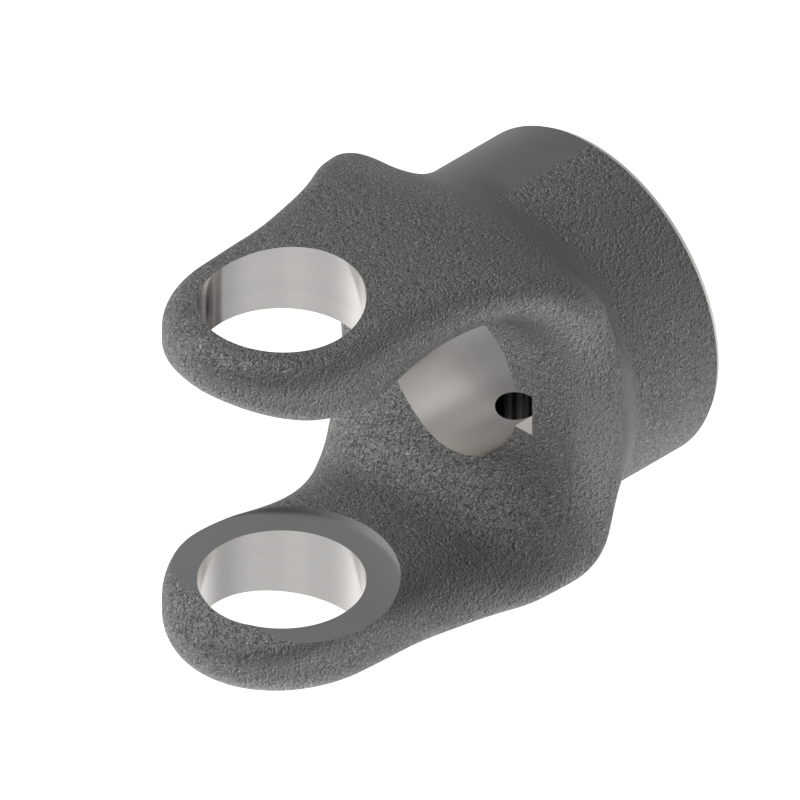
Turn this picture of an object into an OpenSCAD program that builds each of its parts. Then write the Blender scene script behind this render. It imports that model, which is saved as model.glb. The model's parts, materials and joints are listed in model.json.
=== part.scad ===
// Forged end yoke of a universal joint. The origin is the centre of the joint: the cross bores run
// along Z, and the shaft bore runs along +X.

/* [Machined faces and bores] */
// Diameter of the cross bore through each ear, for a 1-3/8 inch bearing cup
cross_bore = 34.925; // [30:0.025:36]
// Distance between the machined inner faces of the ears
ear_gap = 56; // [53:0.5:59]
// Diameter of the machined face round each cross bore
face_dia = 49; // [44:0.5:50]
// Diameter of the shaft bore, 1-1/2 inch
shaft_bore = 38.1; // [30:0.1:44]
// Width of the keyway, 3/8 inch
key_width = 9.525; // [6:0.025:12.7]
// Depth of the keyway beyond the shaft bore
key_depth = 4.3; // [2:0.1:6]
// Diameter of the hole for the set screw
screw_hole = 9.7; // [6:0.1:14]
// Distance from the end of the hub to the middle of the set-screw hole
screw_from_end = 21.8; // [12:0.1:26]
// Distance from the centre of the joint to the end of the hub
hub_end = 90.7; // [86:0.1:105]
// Length of the bevel at the end of the hub
bevel = 2.2; // [1:0.1:4]

/* [Forged ears] */
// Radius of the rounded end of each ear, round its cross bore
ear_radius = 24.7; // [23.5:0.1:26.5]
// Thickness of an ear from its machined inner face to the top of its crown
ear_thickness = 16.3; // [14:0.1:19]
// Radius of the crown across an ear
crown_radius = 102; // [80:1:140]
// Metal left inside each machined face, which the cutter takes off near the throat
machining = 2.5; // [1.8:0.1:3.6]
// Radius of the flare from the arms to the base
flare_radius = 42.2; // [36:0.1:50]

/* [Forged base and hub] */
// Width that the base flares out to across the joint, before its edges are rounded off
base_width = 83.4; // [80:0.2:88]
// Distance from the centre of the joint to the floor of the throat
throat = 48.6; // [46:0.2:50]
// Distance from the centre of the joint to the back of the base
base_back = 62; // [59:0.2:64]
// Slope of the shoulders, measured from a plane across the shaft
shoulder_slope = 52; // [48:1:56]
// Outside diameter of the hub
hub_dia = 74.5; // [70:0.1:80]

/* [Hidden] */

// Cutters run this far past the forging
past = 20;
// Turn of each round cut about its own axis, so that its seam is clear of the middle planes
seam_turn = 20;
// Size of the mesh of the forged skin
cell = 3.4;

// Forged sizes that follow from the ones above
half_gap = ear_gap / 2 - machining;
crown = ear_gap / 2 + ear_thickness;
hub_radius = hub_dia / 2;
neck_end = 11.5;
base_crown_radius = 190;
shoulder = 65.15;

// Edge and fillet sizes of the forging
ear_edge = 5;
base_edge = 8.9;
ear_inner_edge = 4;
throat_edge = 20;
throat_fillet = 15.6;
flare_blend = 12;
shoulder_edge = 9;
back_edge = 8;
hub_fillet = 8.3;

// Smaller or larger of two distances, rounded where they meet
function least(a, b, k) = min(a, b) - pow(max(k - abs(a - b), 0), 2) / (4 * k);
function most(a, b, k) = -least(-a, -b, k);
function ease(t) = let(u = max(0, min(1, t))) u * u * (3 - 2 * u);
// Half the width of the forging at a distance x along the shaft
function half_width(x) =
    let(t = max(0, min(x - neck_end, 0.97 * flare_radius)))
    least(ear_radius + flare_radius - sqrt(pow(flare_radius, 2) - t * t), base_width / 2, flare_blend);
// Drop of a forged face towards the tip of an ear, which starts at x = from
function towards_tip(x, from, rate) = rate * pow(max(from - x, 0), 2);

// Signed distance, near enough, from the forged skin: negative inside the metal.
// The forging is the same on both sides of its two middle planes, so only y and z above zero matter.
function skin(p) =
    let(
        x = p[0], y = abs(p[1]), z = abs(p[2]), r = norm([y, z]),
        base = ease(x / 40),
        gap = z - half_gap - 0.043 * x - 0.03 * y - towards_tip(x, 1, 0.0102),
        room = most(gap, x - throat, throat_fillet),
        radius = crown_radius + (base_crown_radius - crown_radius) * base,
        top = crown - towards_tip(x, 30, 0.0011),
        outer = norm([y, max(z - top + radius, 0)]) - radius,
        sides = norm([min(x, 0), y]) - half_width(x),
        ears = most(outer, sides, ear_edge + (base_edge - ear_edge) * base),
        sloped = x * cos(shoulder_slope) + z * sin(shoulder_slope) - shoulder,
        block = most(most(ears, sloped, shoulder_edge), x - base_back, back_edge),
        body = least(block, max(r - hub_radius, throat - x), hub_fillet)
    )
    most(body, -room, ear_inner_edge + (throat_edge - ear_inner_edge) * base);

// Grid over a quarter of the forging, from the tips of the ears to where only the hub is left.
// Sample m across is at (m + 0.5) * cell, and cell j lies between samples j - 1 and j.
grid_start = -ear_radius - 1.4 * cell;
nx = ceil((base_back + 1.2 * hub_fillet - grid_start) / cell);
ny = ceil((base_width / 2 + 1) / cell) + 1;
nz = ceil((crown + 2) / cell) + 1;
function across(m) = (m + 0.5) * cell;
function spot(i, m, n) = [grid_start + i * cell, across(m), across(n)];
samples = [for (i = [0:nx]) [for (m = [0:ny]) [for (n = [0:nz]) skin(spot(i, m, n))]]];
function fold(m) = m < 0 ? -m - 1 : m;
function value(i, m, n) = samples[min(i, nx)][fold(m)][fold(n)];
function inside(i, m, n) = value(i, m, n) < 0;

// Corners of a cell, as steps from its first one, and the pairs of them that its edges join
CORNERS = [for (a = [0, 1]) for (b = [0, 1]) for (c = [0, 1]) [a, b, c]];
EDGES = [for (a = CORNERS) for (b = CORNERS) if (norm(b - a) == 1 && b * [1, 1, 1] > a * [1, 1, 1]) [a, b]];
function corner_value(i, j, k, c) = value(i + c[0], j - 1 + c[1], k - 1 + c[2]);
function corner_spot(i, j, k, c) = spot(i + c[0], j - 1 + c[1], k - 1 + c[2]);
function crossed(i, j, k) =
    let(count = len([for (c = CORNERS) if (corner_value(i, j, k, c) < 0) 1]))
    count > 0 && count < 8;

// Points where the skin crosses the edges of a cell, and the slope of the skin at a point
function crossings(i, j, k) = [
    for (e = EDGES)
        let(a = corner_value(i, j, k, e[0]), b = corner_value(i, j, k, e[1]))
        if ((a < 0) != (b < 0))
            corner_spot(i, j, k, e[0]) + (corner_spot(i, j, k, e[1]) - corner_spot(i, j, k, e[0])) * a / (a - b)
];
function slope(p, f) = let(e = 0.01) [for (d = [[e, 0, 0], [0, e, 0], [0, 0, e]]) (skin(p + d) - f) / e];
function onto(p) = let(f = skin(p), g = slope(p, f)) p - g * f / max(g * g, 0.25);

// Middle of a set of points, and the move that brings a point nearer to all the planes of a set
function weights(v) = [for (q = v) 1 / len(v)];
function pull(p, spots, ways, offs) =
    weights(spots) * [for (q = [0:len(spots) - 1]) ways[q] * ((p - spots[q]) * ways[q] + offs[q])];
function settle(p, spots, ways, offs, turns) =
    turns == 0 ? p : settle(p - 1.4 * pull(p, spots, ways, offs), spots, ways, offs, turns - 1);
function within(p, low, high) = [for (q = [0:2]) max(low[q], min(high[q], p[q]))];

// Vertex of a cell: where the tangent planes at its crossings meet, so that edges of the forging stay crisp
function vertex(i, j, k) =
    let(
        spots = crossings(i, j, k),
        heights = [for (p = spots) skin(p)],
        slopes = [for (q = [0:len(spots) - 1]) slope(spots[q], heights[q])],
        ways = [for (g = slopes) g / norm(g)],
        offs = [for (q = [0:len(spots) - 1]) heights[q] / norm(slopes[q])],
        met = settle(weights(spots) * spots, spots, ways, offs, 6)
    )
    onto(within(met, corner_spot(i, j, k, [0, 0, 0]), corner_spot(i, j, k, [1, 1, 1])));

// Cells that the skin passes through. The last layer is the hub's outline, carried on past its end.
layers = [for (i = [0:nx - 1]) [for (j = [0:ny]) [for (k = [0:nz]) crossed(i, j, k) ? vertex(i, j, k) : 0]]];
outline = [for (row = layers[nx - 1]) [for (p = row) p == 0 ? 0 : [hub_end + past, p[1], p[2]]]];
grid = concat(layers, [outline]);
taken = [for (layer = grid) for (row = layer) for (p = row) p == 0 ? 0 : 1];
numbers = [for (q = 0, n = 0; q < len(taken); n = n + taken[q], q = q + 1) n];

// Each vertex is drawn in all four quarters. A cell is named [i, j, k], with j and k below zero on the far sides.
points = concat(
    [for (layer = grid) for (row = layer) for (p = row) if (p != 0) for (z = [1, -1]) for (y = [1, -1])
        [p[0], y * p[1], z * p[2]]],
    [[hub_end + past, 0, 0]]
);
function id(c) =
    4 * numbers[(c[0] * (ny + 1) + abs(c[1])) * (nz + 1) + abs(c[2])] + (c[1] < 0 ? 1 : 0) + (c[2] < 0 ? 2 : 0);
function turned(face, flip) = flip ? [for (q = [len(face) - 1:-1:0]) face[q]] : face;

// Four cells round each grid edge that the skin crosses, clockwise from outside when the first end is inside
function ring(i, m, n, way) =
    way == 0 ? [[i, m, n], [i, m, n + 1], [i, m + 1, n + 1], [i, m + 1, n]]
    : way == 1 ? [[i - 1, m + 1, n], [i, m + 1, n], [i, m + 1, n + 1], [i - 1, m + 1, n + 1]]
    : [[i - 1, m, n + 1], [i - 1, m + 1, n + 1], [i, m + 1, n + 1], [i, m, n + 1]];
STEPS = [[1, 0, 0], [0, 1, 0], [0, 0, 1]];
rings = [
    for (i = [0:nx]) for (m = [0:ny - 1]) for (n = [0:nz - 1]) for (way = [0:2])
        let(a = inside(i, m, n), s = STEPS[way], b = inside(i + s[0], m + s[1], n + s[2]))
        if (a != b) turned(ring(i, m, n, way), !a)
];
function quarter(c, y, z) = turned([for (q = c) id([q[0], y * q[1], z * q[2]])], y * z < 0);
function split(q) =
    norm(points[q[0]] - points[q[2]]) < norm(points[q[1]] - points[q[3]])
    ? [[q[0], q[1], q[2]], [q[0], q[2], q[3]]]
    : [[q[1], q[2], q[3]], [q[1], q[3], q[0]]];
skin_faces = [for (c = rings) for (y = [1, -1]) for (z = [1, -1]) each split(quarter(c, y, z))];

// The far end is closed by a fan of triangles round the shaft's axis
function last(c) = c[0] == nx;
end_edges = [for (c = rings) for (q = [0:3]) if (last(c[q]) && last(c[(q + 1) % 4])) [c[(q + 1) % 4], c[q]]];
end_faces = [for (c = end_edges) for (y = [1, -1]) for (z = [1, -1])
    turned([for (q = c) id([q[0], y * q[1], z * q[2]])], y * z < 0)];
closing = [for (f = end_faces) [f[0], f[1], len(points) - 1]];

module forging() {
    polyhedron(points, concat(skin_faces, closing));
}

module along_shaft() {
    rotate([0, 90, 0]) children();
}
module round_cut(length, dia) {
    rotate([0, 0, seam_turn]) cylinder(h = length, d = dia, $fn = 96);
}

// Bores through both ears, and the flat faces that the bearing cups' rings sit on
module ear_cuts() {
    out = crown + past;
    translate([0, 0, -out]) round_cut(2 * out, cross_bore);
    translate([0, 0, -ear_gap / 2]) round_cut(ear_gap, face_dia);
}

// Shaft bore from the throat to the end of the hub, with its keyway on the -Y side
module shaft_cuts() {
    translate([throat - past, 0, 0]) along_shaft() round_cut(hub_end, shaft_bore);
    key_floor = shaft_bore / 2 + key_depth;
    translate([throat - past, -key_floor, -key_width / 2]) cube([hub_end, key_floor, key_width]);
}

module screw_cut() {
    translate([hub_end - screw_from_end, 0, -hub_radius - past]) round_cut(hub_radius + past, screw_hole);
}

// Turned end of the hub: a flat face and a bevel of 30 degrees
module end_cut() {
    out = hub_radius + past;
    slant = bevel * tan(30);
    along_shaft() rotate([0, 0, seam_turn]) rotate_extrude($fn = 144) polygon([
        [0, hub_end],
        [hub_radius - slant, hub_end],
        [out, hub_end - (out - hub_radius + slant) / tan(30)],
        [out, hub_end + 2 * past],
        [0, hub_end + 2 * past]
    ]);
}

module yoke() {
    color("dimgray") difference() {
        forging();
        ear_cuts();
        shaft_cuts();
        screw_cut();
        end_cut();
    }
}

yoke();
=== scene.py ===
import json
import math

import bpy
import numpy as np
from mathutils import Matrix, Vector


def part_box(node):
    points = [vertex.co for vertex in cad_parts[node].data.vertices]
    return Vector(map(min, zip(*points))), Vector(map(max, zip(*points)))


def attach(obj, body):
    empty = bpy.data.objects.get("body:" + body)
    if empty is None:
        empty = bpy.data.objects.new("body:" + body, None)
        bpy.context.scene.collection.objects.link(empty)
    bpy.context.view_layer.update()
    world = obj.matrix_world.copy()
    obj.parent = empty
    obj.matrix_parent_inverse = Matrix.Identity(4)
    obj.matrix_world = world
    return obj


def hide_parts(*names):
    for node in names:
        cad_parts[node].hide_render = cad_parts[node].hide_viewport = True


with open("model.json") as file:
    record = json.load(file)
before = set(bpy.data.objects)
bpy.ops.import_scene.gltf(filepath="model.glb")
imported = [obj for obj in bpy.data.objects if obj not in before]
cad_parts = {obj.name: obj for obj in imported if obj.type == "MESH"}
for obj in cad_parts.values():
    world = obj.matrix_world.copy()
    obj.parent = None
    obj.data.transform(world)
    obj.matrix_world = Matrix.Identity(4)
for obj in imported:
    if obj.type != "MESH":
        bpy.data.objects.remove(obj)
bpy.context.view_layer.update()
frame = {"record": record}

MM = 0.001

# Machined sizes, from the record's mounts and from the CAD node
MOUNTS = {mount["name"]: mount for mount in frame["record"]["mounts"]}
YOKE_LOW, YOKE_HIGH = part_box("yoke")
CROSS_RADIUS = MOUNTS["cross_bores"]["dims"]["r_mm"] * MM
SHAFT_RADIUS = MOUNTS["shaft_bore"]["dims"]["r_mm"] * MM
SCREW_RADIUS = MOUNTS["set_screw_hole"]["dims"]["r_mm"] * MM
SCREW_X = MOUNTS["set_screw_hole"]["pos_m"][0]
FACE_HEIGHT = MOUNTS["upper_inner_face"]["pos_m"][2]
HUB_END = YOKE_HIGH[0]
FACE_RADIUS = 24.5 * MM
KEY_WIDTH = 9.525 * MM
KEY_FLOOR = SHAFT_RADIUS + 4.3 * MM
BEVEL = 1.2 * MM
BEVEL_ANGLE = math.radians(30)
CUT_SIDES = 288

# Forged sizes that the yoke's tree takes as inputs
FORGED_SIZES = {
    "Ear Radius": 24.7 * MM,
    "Crown Height": FACE_HEIGHT + 16.3 * MM,
    "Crown Radius": 102 * MM,
    "Base Crown Radius": 190 * MM,
    "Inner Half Gap": 25.5 * MM,
    "Flare Radius": 42.2 * MM,
    "Base Width": 83.4 * MM,
    "Throat": 48.6 * MM,
    "Base Back": 62 * MM,
    "Hub Radius": 37.25 * MM,
}
HUB_RADIUS = FORGED_SIZES["Hub Radius"]
FLARE_START = 11.5 * MM
BASE_LENGTH = 40 * MM
SHOULDER = 65.15 * MM
SHOULDER_SLOPE = math.radians(52)
EAR_EDGE, BASE_EDGE = 5.0 * MM, 8.9 * MM
EAR_INNER_EDGE, THROAT_EDGE = 4.0 * MM, 20.0 * MM
THROAT_FILLET, HUB_FILLET, FLARE_BLEND = 15.6 * MM, 8.3 * MM, 12.0 * MM
SHOULDER_EDGE, BACK_EDGE = 9.0 * MM, 8.0 * MM
MESH_CELL = 0.75 * MM
SLOPE_STEP = 0.02 * MM
BORE_START = 28 * MM
PAST = 10 * MM

# Finishes that the cuts leave, and the attributes that the yoke's tree stores
FINISHES = [
    "Forged Skin", "Ear Bores", "Ear Faces", "Shaft Bore", "Hub End", "Broached Keyway", "Drilled Hole"]
FINISH = "finish"
SLOPE = "skin_slope"
SMOOTH = "smooth_skin"


# Numbers and nodes

class Term:
    """A number in a node tree. Sums and products of terms add maths nodes to that tree."""

    def __init__(self, tree, socket):
        self.tree = tree
        self.socket = socket

    def __add__(self, other):
        return maths("ADD", self, other)

    def __radd__(self, other):
        return maths("ADD", other, self)

    def __sub__(self, other):
        return maths("SUBTRACT", self, other)

    def __rsub__(self, other):
        return maths("SUBTRACT", other, self)

    def __mul__(self, other):
        return maths("MULTIPLY", self, other)

    def __rmul__(self, other):
        return maths("MULTIPLY", other, self)

    def __truediv__(self, other):
        return maths("DIVIDE", self, other)

    def __rtruediv__(self, other):
        return maths("DIVIDE", other, self)

    def __neg__(self):
        return maths("MULTIPLY", self, -1.0)


def plug(tree, value, socket):
    """Link a term or a socket to an input, or set the input's own value."""
    if isinstance(value, Term):
        value = value.socket
    if isinstance(value, bpy.types.NodeSocket):
        tree.links.new(value, socket)
    else:
        socket.default_value = value


def add(tree, kind, inputs=None, **settings):
    """Add a node with its settings and its inputs, named or numbered."""
    node = tree.nodes.new(kind)
    for name, value in settings.items():
        setattr(node, name, value)
    for name, value in (inputs or {}).items():
        plug(tree, value, node.inputs[name])
    return node


def maths(operation, *values):
    """Add one maths node, in the tree that the terms among its values belong to."""
    tree = next(value.tree for value in values if isinstance(value, Term))
    node = add(tree, "ShaderNodeMath", dict(enumerate(values)), operation=operation)
    return Term(tree, node.outputs[0])


def vector_maths(tree, operation, values, output="Vector"):
    """Add one vector maths node and return its output."""
    return add(tree, "ShaderNodeVectorMath", values, operation=operation).outputs[output]


def clamped(value, low, high):
    return maths("MINIMUM", maths("MAXIMUM", value, low), high)


def length(a, b):
    return maths("SQRT", a * a + b * b)


def least(a, b, round_off):
    """Smaller of two distances, rounded where they meet."""
    overlap = maths("MAXIMUM", round_off - maths("ABSOLUTE", a - b), 0.0)
    return maths("MINIMUM", a, b) - overlap * overlap / (round_off * 4)


def most(a, b, round_off):
    """Larger of two distances, rounded where they meet."""
    return -least(-a, -b, round_off)


def new_group(name, kind, inputs, outputs):
    """Start a node group with named sockets, and return it with its input and output nodes."""
    tree = bpy.data.node_groups.new(name, kind)
    for socket, (socket_type, default) in inputs.items():
        made = tree.interface.new_socket(socket, in_out="INPUT", socket_type=socket_type)
        if default is not None:
            made.default_value = default
    for socket, socket_type in outputs.items():
        tree.interface.new_socket(socket, in_out="OUTPUT", socket_type=socket_type)
    return tree, tree.nodes.new("NodeGroupInput").outputs, tree.nodes.new("NodeGroupOutput").inputs


FLOAT, VECTOR, GEOMETRY, MATERIAL = (
    "NodeSocketFloat", "NodeSocketVector", "NodeSocketGeometry", "NodeSocketMaterial")
SIZE_SOCKETS = {name: (FLOAT, value) for name, value in FORGED_SIZES.items()}


def use_group(tree, group, sizes, **inputs):
    """Place one of the yoke's groups, with the forged sizes handed on from the tree's own inputs."""
    node = add(tree, "GeometryNodeGroup", node_tree=group)
    for name in FORGED_SIZES:
        plug(tree, sizes[name], node.inputs[name])
    for name, value in inputs.items():
        plug(tree, value, node.inputs[name.title()])
    return node.outputs


# Forged form

def skin_distance_group():
    """Signed distance of a position from the forged skin, below zero inside the metal."""
    tree, given, result = new_group(
        "Forged Skin Distance", "GeometryNodeTree",
        {"Position": (VECTOR, None), **SIZE_SOCKETS}, {"Distance": FLOAT, "Smoothness": FLOAT})
    split = add(tree, "ShaderNodeSeparateXYZ", {"Vector": given["Position"]}).outputs
    size = {name: Term(tree, given[name]) for name in FORGED_SIZES}
    x = Term(tree, split["X"])
    y = maths("ABSOLUTE", Term(tree, split["Y"]))
    z = maths("ABSOLUTE", Term(tree, split["Z"]))

    # From the round ears at 0 to the square base at 1
    base = clamped(x / BASE_LENGTH, 0.0, 1.0)
    base = base * base * (3 - base * 2)

    def towards_tip(start, rate):
        past = maths("MAXIMUM", start - x, 0.0)
        return past * past * rate

    # Room between the ears, with draft on its walls and a lip at the tips
    gap = z - size["Inner Half Gap"] - x * 0.043 - y * 0.03 - towards_tip(1.0 * MM, 10.2)
    room = most(gap, x - size["Throat"], THROAT_FILLET)

    # Crowned outer faces and flared sides
    radius = size["Crown Radius"] + (size["Base Crown Radius"] - size["Crown Radius"]) * base
    top = size["Crown Height"] - towards_tip(30 * MM, 1.1)
    outer = length(y, maths("MAXIMUM", z - top + radius, 0.0)) - radius
    flare = size["Flare Radius"]
    run = clamped(x - FLARE_START, 0.0, flare * 0.97)
    flared = size["Ear Radius"] + flare - maths("SQRT", flare * flare - run * run)
    sides = length(maths("MINIMUM", x, 0.0), y) - least(flared, size["Base Width"] / 2, FLARE_BLEND)
    ears = most(outer, sides, EAR_EDGE + base * (BASE_EDGE - EAR_EDGE))

    # Sloped shoulders, the back of the base, and the hub
    sloped = x * math.cos(SHOULDER_SLOPE) + z * math.sin(SHOULDER_SLOPE) - SHOULDER
    block = most(most(ears, sloped, SHOULDER_EDGE), x - size["Base Back"], BACK_EDGE)
    hub = maths("MAXIMUM", length(y, z) - size["Hub Radius"], size["Throat"] - x)
    body = least(block, hub, HUB_FILLET)
    skin = most(body, -room, EAR_INNER_EDGE + base * (THROAT_EDGE - EAR_INNER_EDGE))
    plug(tree, skin, result["Distance"])

    # Smoother skin along the middle of the hub's fillet, and smooth skin on the +Y half of the hub
    fillet = clamped((1 - maths("ABSOLUTE", block - hub) / HUB_FILLET) * 1.6 - 0.6, 0.0, 0.75)
    side = clamped(Term(tree, split["Y"]) / (1.5 * MM) + 1, 0.0, 1.0)
    on_hub = clamped((block - hub) / (3 * MM), 0.0, 1.0)
    plug(tree, maths("MAXIMUM", fillet, side * on_hub), result["Smoothness"])
    return tree


def onto_skin_group(skin_distance):
    """Move a position onto the forged skin along the skin's slope, and give that slope."""
    tree, given, result = new_group(
        "Onto Forged Skin", "GeometryNodeTree",
        {"Position": (VECTOR, None), **SIZE_SOCKETS}, {"Position": VECTOR, "Slope": VECTOR})

    def distance(position):
        return Term(tree, use_group(tree, skin_distance, given, position=position)["Distance"])

    here = distance(given["Position"])
    slope = add(tree, "ShaderNodeCombineXYZ")
    for axis in range(3):
        step = [0.0, 0.0, 0.0]
        step[axis] = SLOPE_STEP
        near = vector_maths(tree, "ADD", {0: given["Position"], 1: step})
        plug(tree, (distance(near) - here) / SLOPE_STEP, slope.inputs[axis])
    steepness = Term(tree, vector_maths(
        tree, "DOT_PRODUCT", {0: slope.outputs[0], 1: slope.outputs[0]}, "Value"))
    move = vector_maths(tree, "SCALE", {
        0: slope.outputs[0], "Scale": -here / maths("MAXIMUM", steepness, 0.25)})
    plug(tree, vector_maths(tree, "ADD", {0: given["Position"], 1: move}), result["Position"])
    plug(tree, vector_maths(tree, "NORMALIZE", {0: slope.outputs[0]}), result["Slope"])
    return tree


def with_finish(tree, mesh, finish):
    """Note on each face which finish it gets. The note, unlike a material, comes through the cuts."""
    return add(tree, "GeometryNodeStoreNamedAttribute", {
        "Geometry": mesh, "Name": FINISH, "Value": FINISHES.index(finish)},
        data_type="INT", domain="FACE").outputs["Geometry"]


def cutter(tree, mesh, place, finish, along_shaft=False):
    """Put a cutting solid in its place, turned along the shaft if need be, with the finish that it leaves."""
    turn = (0, math.pi / 2, 0) if along_shaft else (0, 0, 0)
    moved = add(tree, "GeometryNodeTransform", {"Geometry": mesh, "Translation": place, "Rotation": turn})
    return with_finish(tree, moved.outputs["Geometry"], finish)


def round_cutter(tree, radius, depth, finish, place=(0, 0, 0), along_shaft=False):
    """A cylinder that cuts a bore along Z, or along the shaft."""
    mesh = add(tree, "GeometryNodeMeshCylinder", {"Vertices": CUT_SIDES, "Radius": radius, "Depth": depth})
    return cutter(tree, mesh.outputs["Mesh"], place, finish, along_shaft)


def boolean(tree, operation, *meshes):
    """Intersect solids, or cut the others out of the first one."""
    node = add(tree, "GeometryNodeMeshBoolean", operation=operation, solver="MANIFOLD")
    others = meshes
    if operation == "DIFFERENCE":
        tree.links.new(meshes[0], node.inputs["Mesh 1"])
        others = meshes[1:]
    for mesh in others:
        tree.links.new(mesh, node.inputs["Mesh 2"])
    return node.outputs["Mesh"]


def yoke_tree():
    """The whole yoke: its forged skin made solid from the distance, then every machined cut."""
    machined_sizes = {
        "Cross Bore Radius": (FLOAT, CROSS_RADIUS),
        "Machined Face Radius": (FLOAT, FACE_RADIUS),
        "Machined Face Gap": (FLOAT, 2 * FACE_HEIGHT),
        "Shaft Bore Radius": (FLOAT, SHAFT_RADIUS),
        "Screw Hole Radius": (FLOAT, SCREW_RADIUS),
        "Mesh Cell": (FLOAT, MESH_CELL),
    }
    finishes = {name: (MATERIAL, None) for name in FINISHES}
    tree, given, result = new_group(
        "Forged Yoke", "GeometryNodeTree",
        {**SIZE_SOCKETS, **machined_sizes, **finishes}, {"Geometry": GEOMETRY})
    distance_group = skin_distance_group()
    onto_group = onto_skin_group(distance_group)
    here = tree.nodes.new("GeometryNodeInputPosition").outputs[0]

    # Forged skin, carried on past the end of the hub
    margin = Vector((2, 2, 2)) * MM
    low = Vector(YOKE_LOW) - margin
    high = Vector(YOKE_HIGH) + margin + Vector((PAST, 0, 0))
    distance = Term(tree, use_group(tree, distance_group, given, position=here)["Distance"])
    volume = add(tree, "GeometryNodeVolumeCube", {
        "Density": -distance, "Background": -1.0, "Min": low, "Max": high})
    for axis, span in zip("XYZ", high - low):
        plug(tree, span / Term(tree, given["Mesh Cell"]), volume.inputs["Resolution " + axis])
    forging = add(tree, "GeometryNodeVolumeToMesh", {
        "Volume": volume.outputs["Volume"], "Threshold": 0.0}).outputs["Mesh"]
    for turn in range(2):
        onto = use_group(tree, onto_group, given, position=here)
        forging = add(tree, "GeometryNodeSetPosition", {
            "Geometry": forging, "Position": onto["Position"]}).outputs["Geometry"]
    forging = with_finish(tree, forging, "Forged Skin")

    # Turned end of the hub: its bevel is the end of one long cone round the whole forging
    reach = HUB_END + 60 * MM
    slant = math.tan(BEVEL_ANGLE)
    end_radius = Term(tree, given["Hub Radius"]) - BEVEL * slant
    cone = add(tree, "GeometryNodeMeshCone", {
        "Vertices": CUT_SIDES, "Radius Top": end_radius, "Radius Bottom": end_radius + reach * slant,
        "Depth": reach}).outputs["Mesh"]
    turned_end = cutter(tree, cone, (HUB_END - reach, 0, 0), "Hub End", along_shaft=True)
    blank = boolean(tree, "INTERSECT", forging, turned_end)

    # Bores, machined faces, keyway and screw hole
    hole_length = HUB_RADIUS + PAST
    bore_length = HUB_END + PAST - BORE_START
    middle = BORE_START + bore_length / 2
    slot = add(tree, "GeometryNodeMeshCube", {"Size": (bore_length, KEY_FLOOR, KEY_WIDTH)}).outputs["Mesh"]
    yoke = boolean(
        tree, "DIFFERENCE", blank,
        round_cutter(tree, given["Cross Bore Radius"], 2 * (YOKE_HIGH[2] + PAST), "Ear Bores"),
        round_cutter(tree, given["Machined Face Radius"], given["Machined Face Gap"], "Ear Faces"),
        round_cutter(tree, given["Shaft Bore Radius"], bore_length, "Shaft Bore", (middle, 0, 0), True),
        round_cutter(
            tree, given["Screw Hole Radius"], hole_length, "Drilled Hole", (SCREW_X, 0, -hole_length / 2)),
        cutter(tree, slot, (middle, -KEY_FLOOR / 2, 0), "Broached Keyway"))

    # What the materials and the shading read: the skin's slope, and how smooth it is at a place
    onto = use_group(tree, onto_group, given, position=here)
    yoke = add(tree, "GeometryNodeStoreNamedAttribute", {
        "Geometry": yoke, "Name": SLOPE, "Value": onto["Slope"]},
        data_type="FLOAT_VECTOR").outputs["Geometry"]
    smooth = use_group(tree, distance_group, given, position=here)["Smoothness"]
    yoke = add(tree, "GeometryNodeStoreNamedAttribute", {
        "Geometry": yoke, "Name": SMOOTH, "Value": smooth}, data_type="FLOAT").outputs["Geometry"]
    yoke = add(tree, "GeometryNodeRealizeInstances", {"Geometry": yoke}).outputs["Geometry"]
    noted = add(
        tree, "GeometryNodeInputNamedAttribute", {"Name": FINISH}, data_type="INT").outputs["Attribute"]
    for number, finish in enumerate(FINISHES):
        yoke = add(tree, "GeometryNodeSetMaterial", {
            "Geometry": yoke, "Selection": maths("COMPARE", Term(tree, noted), number, 0.5),
            "Material": given[finish]}).outputs["Geometry"]
    plug(tree, yoke, result["Geometry"])
    return tree


def make_yoke(materials):
    """Run the yoke's tree and keep what it makes as a plain mesh."""
    yoke = bpy.data.objects.new("forged_yoke", bpy.data.meshes.new("forged_yoke"))
    bpy.context.collection.objects.link(yoke)
    modifier = yoke.modifiers.new("Forged Yoke", "NODES")
    modifier.node_group = yoke_tree()
    for socket in modifier.node_group.interface.items_tree:
        if socket.name in materials:
            modifier[socket.identifier] = materials[socket.name]
    ready = yoke.evaluated_get(bpy.context.evaluated_depsgraph_get())
    made = bpy.data.meshes.new_from_object(ready)
    yoke.modifiers.remove(modifier)
    yoke.data = made
    made.name = "forged_yoke"
    made.materials.pop(index=0)
    set_normals(made)
    return yoke


def unit(vectors):
    return vectors / np.linalg.norm(vectors, axis=1, keepdims=True)


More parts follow.
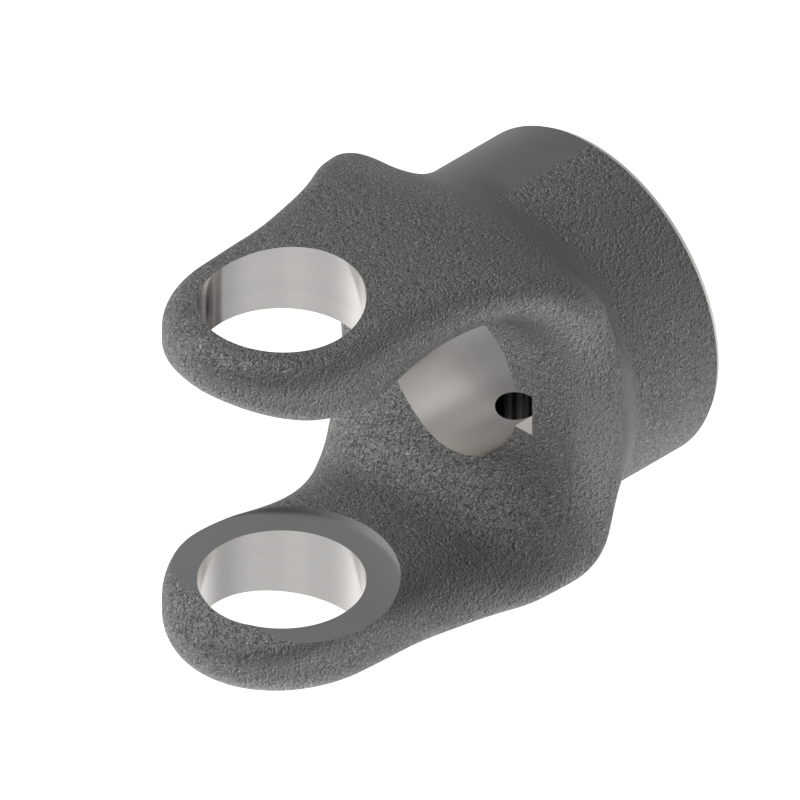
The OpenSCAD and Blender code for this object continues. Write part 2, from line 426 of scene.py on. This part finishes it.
def set_normals(mesh):
    """Shade the forged skin by its slope, bores and bevel by their axes, and flat cuts by their faces."""
    vertices = np.empty((len(mesh.vertices), 3))
    mesh.vertices.foreach_get("co", vertices.ravel())
    slopes = np.empty((len(mesh.vertices), 3))
    mesh.attributes[SLOPE].data.foreach_get("vector", slopes.ravel())
    sides = np.empty(len(mesh.polygons), dtype=int)
    mesh.polygons.foreach_get("loop_total", sides)
    finish = np.empty(len(mesh.polygons), dtype=int)
    mesh.attributes[FINISH].data.foreach_get("value", finish)
    flat = np.empty((len(mesh.polygons), 3))
    mesh.polygons.foreach_get("normal", flat.ravel())
    corner = np.empty(len(mesh.loops), dtype=int)
    mesh.loops.foreach_get("vertex_index", corner)
    places = vertices[corner]
    normals = np.repeat(flat, sides, axis=0)
    finishes = np.array(FINISHES)[np.repeat(finish, sides)]

    on_skin = finishes == "Forged Skin"
    normals[on_skin] = slopes[corner][on_skin]
    round_z = np.isin(finishes, ("Ear Bores", "Ear Faces")) & (abs(normals[:, 2]) < 0.5)
    normals[round_z] = unit(-places[round_z] * (1, 1, 0))
    hole = finishes == "Drilled Hole"
    normals[hole] = unit(((SCREW_X, 0, 0) - places[hole]) * (1, 1, 0))
    bore = finishes == "Shaft Bore"
    normals[bore] = unit(-places[bore] * (0, 1, 1))
    bevel = (finishes == "Hub End") & (normals[:, 0] < 0.9)
    normals[bevel] = unit(places[bevel] * (0, 1, 1)) * math.cos(BEVEL_ANGLE) + (math.sin(BEVEL_ANGLE), 0, 0)
    mesh.polygons.foreach_set("use_smooth", np.ones(len(mesh.polygons), dtype=bool))
    mesh.normals_split_custom_set(normals.tolist())
    for note in (SLOPE, FINISH):
        mesh.attributes.remove(mesh.attributes[note])


# Finishes

def forged_grain_group():
    """Wrinkled skin of a blasted forging: short ridges that wander, over a finer grit.

    Both are lower where the skin is smooth.
    Rubbed is painted light and shade: high on the side of each grain that looks towards Rubbed From and low
    behind it, as if light fell from that side, and a little higher on the peaks.
    """
    tree, given, result = new_group(
        "Forged Grain", "ShaderNodeTree",
        {"Grain Size": (FLOAT, 0.8 * MM), "Patch Size": (FLOAT, 7 * MM), "Smoothness": (FLOAT, 0.0),
         "Painted Light From": (VECTOR, (-0.17 * MM, 0.17 * MM, 0.17 * MM))},
        {"Height": FLOAT, "Patch": FLOAT, "Rubbed Peaks And Painted Light": FLOAT})
    place = add(tree, "ShaderNodeTexCoord").outputs["Object"]
    fine = 1 / Term(tree, given["Grain Size"])
    wide = 1 / Term(tree, given["Patch Size"])
    patch = add(tree, "ShaderNodeTexNoise", {"Vector": place, "Scale": wide, "Detail": 2.0})

    def rise(spot):
        wrinkle = add(tree, "ShaderNodeTexNoise", {
            "Vector": spot, "Scale": fine, "Detail": 2.0, "Roughness": 0.55, "Distortion": 1.0})
        grit = add(tree, "ShaderNodeTexNoise", {
            "Vector": spot, "Scale": fine * 2.1, "Detail": 1.0, "Roughness": 0.5, "Distortion": 0.4})
        waves = Term(tree, wrinkle.outputs["Fac"]) - 0.5
        ridge = 0.5 - clamped(maths("ABSOLUTE", waves) * 7, 0.0, 1.0)
        return waves + ridge * 0.15 + (Term(tree, grit.outputs["Fac"]) - 0.5) * 0.5

    left = 1 - Term(tree, given["Smoothness"])
    here = rise(place)
    beside = rise(vector_maths(tree, "ADD", {0: place, 1: given["Painted Light From"]}))
    plug(tree, here * left, result["Height"])
    plug(tree, patch.outputs["Fac"], result["Patch"])
    # Painted light and shade: where the grain faces towards Rubbed From it is lightened, where it faces away
    # it is darkened, and the peaks are lightened a little
    sides = clamped(((here - beside) * 1.35 + here * 0.25) * left + 0.6 - left * 0.1, 0.0, 1.0)
    plug(tree, maths("POWER", sides, 1.6), result["Rubbed Peaks And Painted Light"])
    return tree


def turning_marks_group():
    """Fine rings that a cutting tool leaves about an axis: they change along it and away from it."""
    tree, given, result = new_group(
        "Turning Marks", "ShaderNodeTree",
        {"Along": (FLOAT, 0.0), "Out": (FLOAT, 0.0), "Pitch": (FLOAT, 0.25 * MM)},
        {"Height": FLOAT, "Shade": FLOAT})
    feed = (Term(tree, given["Along"]) + Term(tree, given["Out"])) / Term(tree, given["Pitch"])
    ring = add(tree, "ShaderNodeTexNoise", {"W": feed, "Scale": 1.0, "Detail": 1.0}, noise_dimensions="1D")
    band = add(tree, "ShaderNodeTexNoise", {"W": feed, "Scale": 0.07, "Detail": 1.0}, noise_dimensions="1D")
    plug(tree, ring.outputs["Fac"], result["Height"])
    plug(tree, band.outputs["Fac"], result["Shade"])
    return tree


def new_material(name):
    material = bpy.data.materials.new(name)
    material.use_nodes = True
    tree = material.node_tree
    return material, tree, tree.nodes["Principled BSDF"].inputs


def mix_colour(tree, share, first, second):
    """Blend of two colours. The node's sockets 6 and 7 are its colour inputs, and output 2 its colour."""
    node = add(tree, "ShaderNodeMix", {0: share, 6: first, 7: second}, data_type="RGBA")
    return node.outputs[2]


def grey(value, warmth=0.0):
    return (value * (1 + warmth), value, value * (1 - warmth), 1)


def forged_skin(grain_group):
    material, tree, shader = new_material("Forged Skin")
    smooth = add(tree, "ShaderNodeAttribute", attribute_name=SMOOTH).outputs["Fac"]
    grain = add(tree, "ShaderNodeGroup", node_tree=grain_group)
    plug(tree, smooth, grain.inputs["Smoothness"])
    # Painted light and shade: the colour runs from dark in the pits and on the shaded side of each grain to
    # light on the peaks and on the lit side
    pit_and_shaded_colour = mix_colour(tree, grain.outputs["Patch"], grey(0.17, 0.015), grey(0.2, 0.015))
    peak_and_lit_colour = mix_colour(tree, grain.outputs["Patch"], grey(0.66, 0.015), grey(0.72, 0.015))
    plug(tree, mix_colour(tree, grain.outputs["Rubbed Peaks And Painted Light"], pit_and_shaded_colour, peak_and_lit_colour), shader["Base Color"])
    plug(tree, 0.5 - Term(tree, grain.outputs["Rubbed Peaks And Painted Light"]) * 0.1, shader["Roughness"])
    bump = add(tree, "ShaderNodeBump", {
        "Height": grain.outputs["Height"], "Strength": 1.0, "Distance": 0.4 * MM})
    plug(tree, bump.outputs["Normal"], shader["Normal"])
    shader["Metallic"].default_value = 1.0
    return material


def drilled_hole():
    """Wall of the set-screw hole, painted dark as shade, with lighter streaks along it."""
    material, tree, shader = new_material("Drilled Hole")
    place = add(tree, "ShaderNodeTexCoord").outputs["Object"]
    out = vector_maths(tree, "SUBTRACT", {0: place, 1: (SCREW_X, 0, 0)})
    flat = vector_maths(tree, "MULTIPLY", {0: out, 1: (1, 1, 0)})
    streaks = add(tree, "ShaderNodeTexNoise", {"Vector": flat, "Scale": 1 / (2.2 * MM), "Detail": 2.0})
    share = clamped((Term(tree, streaks.outputs["Fac"]) - 0.42) * 5, 0.0, 1.0)
    # Painted shade: the hole's wall is painted dark, with lighter streaks that change round the hole and stay
    # the same along it
    plug(tree, mix_colour(tree, share, grey(0.05), grey(0.5)), shader["Base Color"])
    shader["Roughness"].default_value = 0.3
    shader["Metallic"].default_value = 1.0
    return material


def turned_steel(name, marks_group, along, base, roughness, warmth=0.03):
    """Machined steel with rings about the Z axis or about the shaft's axis."""
    material, tree, shader = new_material(name)
    place = add(tree, "ShaderNodeTexCoord").outputs["Object"]
    split = add(tree, "ShaderNodeSeparateXYZ", {"Vector": place}).outputs
    x, y, z = (Term(tree, split[axis]) for axis in "XYZ")
    marks = add(tree, "ShaderNodeGroup", node_tree=marks_group)
    plug(tree, z if along == "Z" else x, marks.inputs["Along"])
    plug(tree, length(x, y) if along == "Z" else length(y, z), marks.inputs["Out"])
    plug(tree, mix_colour(tree, marks.outputs["Shade"], grey(base * 0.97, warmth), grey(base * 1.03, warmth)),
         shader["Base Color"])
    plug(tree, roughness + (Term(tree, marks.outputs["Shade"]) - 0.5) * 0.02, shader["Roughness"])
    bump = add(tree, "ShaderNodeBump", {
        "Height": marks.outputs["Height"], "Strength": 0.05, "Distance": 0.01 * MM})
    plug(tree, bump.outputs["Normal"], shader["Normal"])
    shader["Metallic"].default_value = 1.0
    return material


def make_materials():
    grain = forged_grain_group()
    marks = turning_marks_group()
    made = [
        forged_skin(grain),
        turned_steel("Ear Bores", marks, "Z", 0.93, 0.14),
        turned_steel("Ear Faces", marks, "Z", 0.68, 0.36, warmth=0.0),
        turned_steel("Shaft Bore", marks, "X", 0.88, 0.2),
        turned_steel("Hub End", marks, "X", 0.9, 0.3),
        turned_steel("Broached Keyway", marks, "Z", 0.9, 0.2),
        drilled_hole(),
    ]
    return {material.name: material for material in made}


# Stage, light and camera

VIEW_SCALE = 4.859
VIEW_RIGHT = Vector((1, -1, 0)).normalized()
VIEW_UP = Vector((1, 1, 2)).normalized()
VIEW_BACK = VIEW_RIGHT.cross(VIEW_UP)


def make_camera():
    """Isometric camera of the photograph, in which one millimetre is VIEW_SCALE pixels of 800."""
    data = bpy.data.cameras.new("camera")
    data.type = "ORTHO"
    data.ortho_scale = 800 / VIEW_SCALE * MM
    data.clip_end = 10
    camera = bpy.data.objects.new("camera", data)
    turn = Matrix((VIEW_RIGHT, VIEW_UP, VIEW_BACK)).transposed()
    place = VIEW_RIGHT * (24.35 * MM) + VIEW_UP * (14.06 * MM) + VIEW_BACK * 0.8
    camera.matrix_world = Matrix.Translation(place) @ turn.to_4x4()
    bpy.context.collection.objects.link(camera)
    bpy.context.scene.camera = camera


def make_floor():
    """Pale floor under the lower ear. It shines evenly, and lets the studio's light through from below."""
    height = YOKE_LOW[2]
    reach = 3.0
    mesh = bpy.data.meshes.new("floor")
    mesh.from_pydata(
        [(-reach, -reach, height), (reach, -reach, height), (reach, reach, height), (-reach, reach, height)],
        [], [(0, 1, 2, 3)])
    floor = bpy.data.objects.new("floor", mesh)
    bpy.context.collection.objects.link(floor)
    material, tree, shader = new_material("Pale Floor")
    shader["Base Color"].default_value = grey(0.9)
    shader["Roughness"].default_value = 0.9
    shader["Emission Color"].default_value = grey(1.0)
    shader["Emission Strength"].default_value = 1.0
    seen = Term(tree, tree.nodes.new("ShaderNodeLightPath").outputs["Is Camera Ray"])
    below = Term(tree, tree.nodes.new("ShaderNodeNewGeometry").outputs["Backfacing"])
    plug(tree, seen * (1 - below), shader["Alpha"])
    mesh.materials.append(material)


# Broad soft lights all round the yoke: azimuth and elevation in degrees, and strength
SOFT_LIGHTS = [
    (0, -90, 1.2), (90, -58, 0.8), (-90, -58, 0.25), (-148, -54, 0.36), (-32, -54, 0.12),
    (0, -32, 0.52), (180, -32, 0.2), (-69, -30, 0.15), (-111, -30, 0.2), (111, -30, 0.3), (80, -30, 0.2),
    (32, -18, 0.4), (148, -18, 0.4), (-32, -18, 0.15), (-148, -18, 0.22),
    (90, 0, 0.55), (-90, 0, 0.55), (122, 0, 0.3), (0, 0, 0.25), (180, 0, 0.25), (-58, 0, 0.15), (58, 0, 0.1),
    (-69, 30, 0.2), (111, 30, 0.2), (148, 54, 0.5), (-32, 54, 0.2), (90, 58, 0.8), (0, 90, 0.3),
]
SOFT_LIGHT_NARROWNESS = 10


def make_world():
    """Dark studio whose light comes from broad soft lights, most of them low and behind the yoke."""
    world = bpy.data.worlds.new("studio")
    bpy.context.scene.world = world
    world.use_nodes = True
    tree = world.node_tree
    way = vector_maths(tree, "NORMALIZE", {0: add(tree, "ShaderNodeTexCoord").outputs["Generated"]})
    glow = 0.0
    for azimuth, elevation, strength in SOFT_LIGHTS:
        turn, tilt = math.radians(azimuth), math.radians(elevation)
        towards = (math.cos(turn) * math.cos(tilt), math.sin(turn) * math.cos(tilt), math.sin(tilt))
        facing = Term(tree, vector_maths(tree, "DOT_PRODUCT", {0: way, 1: towards}, "Value"))
        glow = maths("EXPONENT", (facing - 1) * SOFT_LIGHT_NARROWNESS) * strength + glow
    plug(tree, glow, tree.nodes["Background"].inputs["Strength"])
    tree.nodes["Background"].inputs["Color"].default_value = grey(1.0)


make_camera()
make_floor()
make_world()
yoke = make_yoke(make_materials())
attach(yoke, "root")
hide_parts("yoke")
bpy.context.scene.view_settings.view_transform = "Standard"
